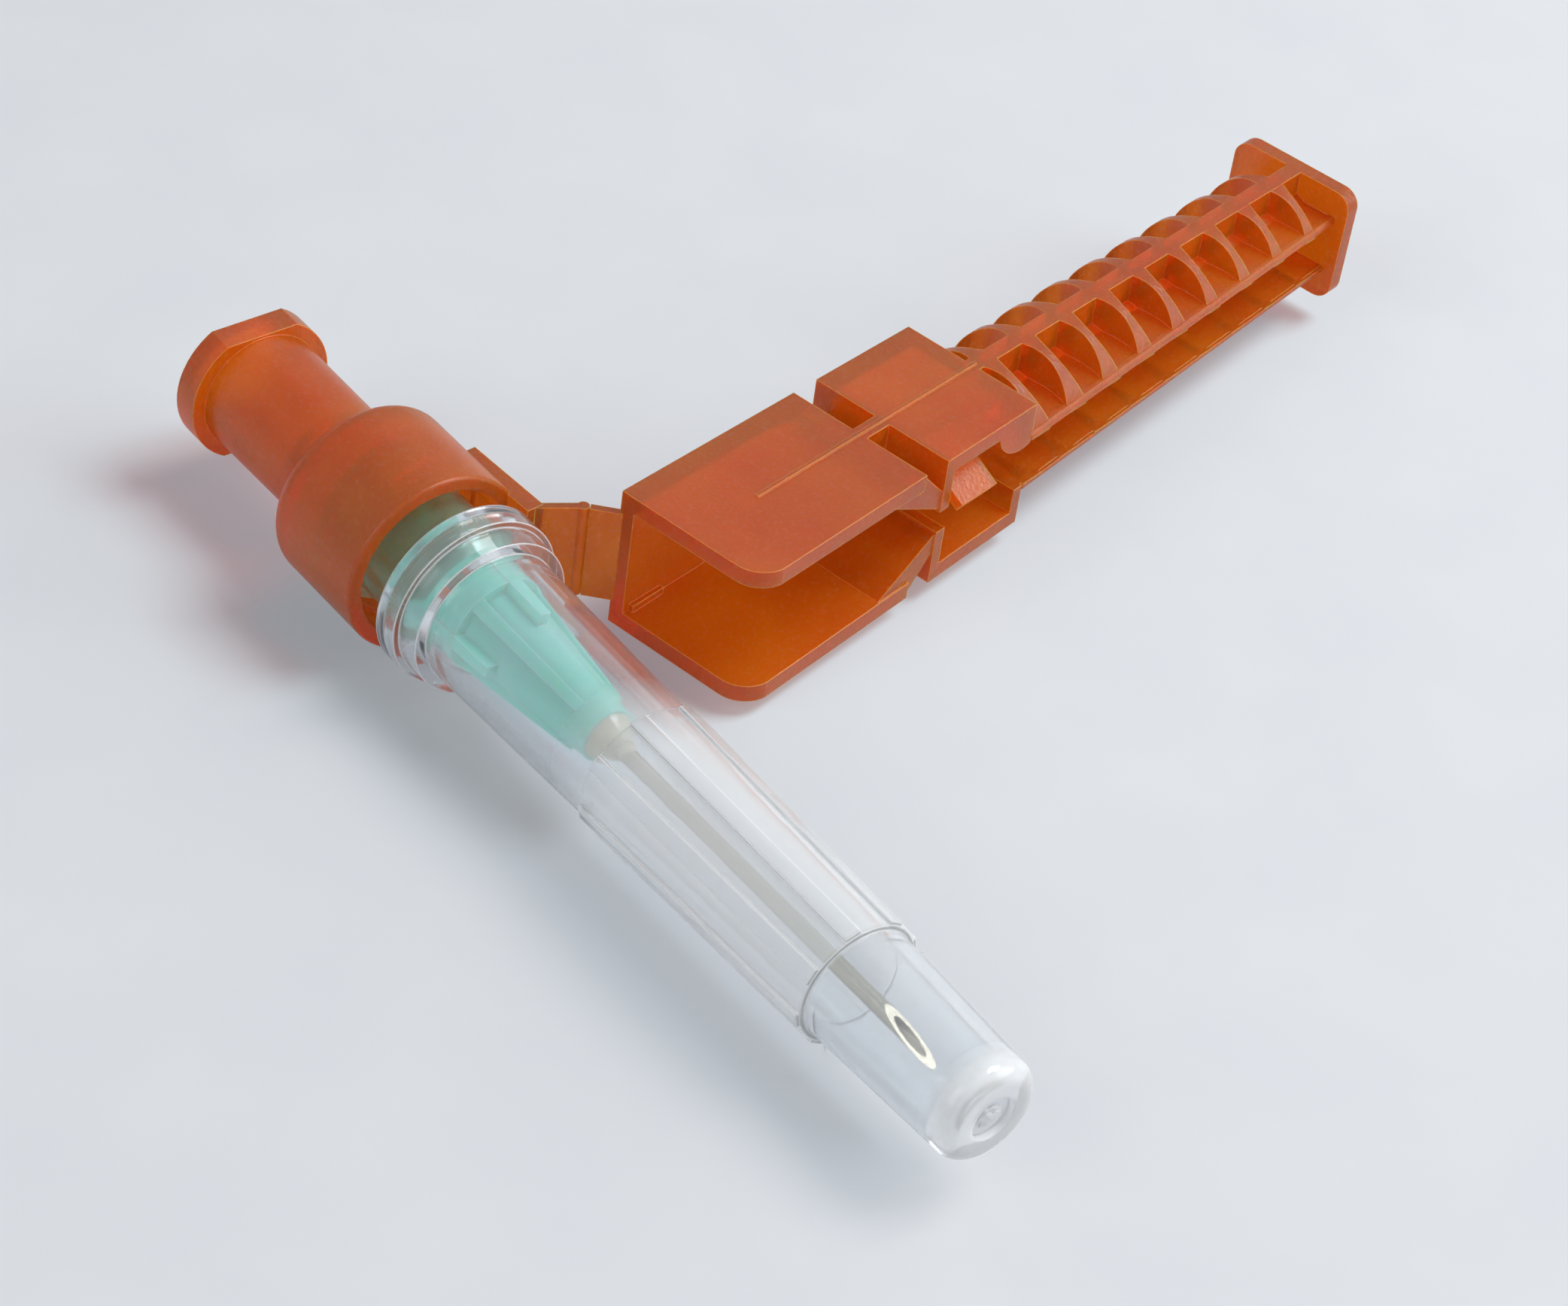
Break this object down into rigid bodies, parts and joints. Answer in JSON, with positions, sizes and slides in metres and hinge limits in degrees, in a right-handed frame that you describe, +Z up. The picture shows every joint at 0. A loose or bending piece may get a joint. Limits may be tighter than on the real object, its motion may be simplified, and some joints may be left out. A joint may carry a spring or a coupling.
{
  "type": "safety hypodermic needle",
  "caption": "Capped hypodermic needle on a luer lock adapter, with a ribbed swing-over needle guard on a living hinge, swung open.",
  "frame": {"origin": "centre of the luer socket's mouth", "axes": "+X runs along the needle from the luer mouth to the needle's point, +Z is up from the surface that the part lies on, and the guard's hinge is on the +Y side"},
  "size_m": [0.0589, 0.0634, 0.0098],
  "materials": {
    "orange_polypropylene": "translucent polypropylene with a fine matte texture",
    "green_hub": "translucent mint green",
    "cream_adhesive": "glossy cured adhesive",
    "needle_steel": "polished drawn stainless tube",
    "clear_cap": "clear natural polypropylene"
  },
  "bodies": {
    "needle_unit": {"luer_adapter": "orange_polypropylene", "hinge_strap": "orange_polypropylene", "needle_hub": "green_hub", "adhesive_bead": "cream_adhesive", "cannula": "needle_steel"},
    "guard": {"needle_guard": "orange_polypropylene"},
    "cap": {"needle_cap": "clear_cap"}
  },
  "joints": [
    {"name": "guard_swing", "type": "hinge", "parent": "needle_unit", "child": "guard", "pos_m": [0.01943, 0.00667, 0], "axis": [0, 0, 1], "range_deg": [-101, 0]},
    {"name": "cap_pull", "type": "slide", "parent": "needle_unit", "child": "cap", "axis": [1, 0, 0], "range_m": [0, 0.075]}
  ],
  "couplings": [
    {"joint": "cap_pull", "follows": "guard_swing", "m_per_rad": -0.0425}
  ]
}
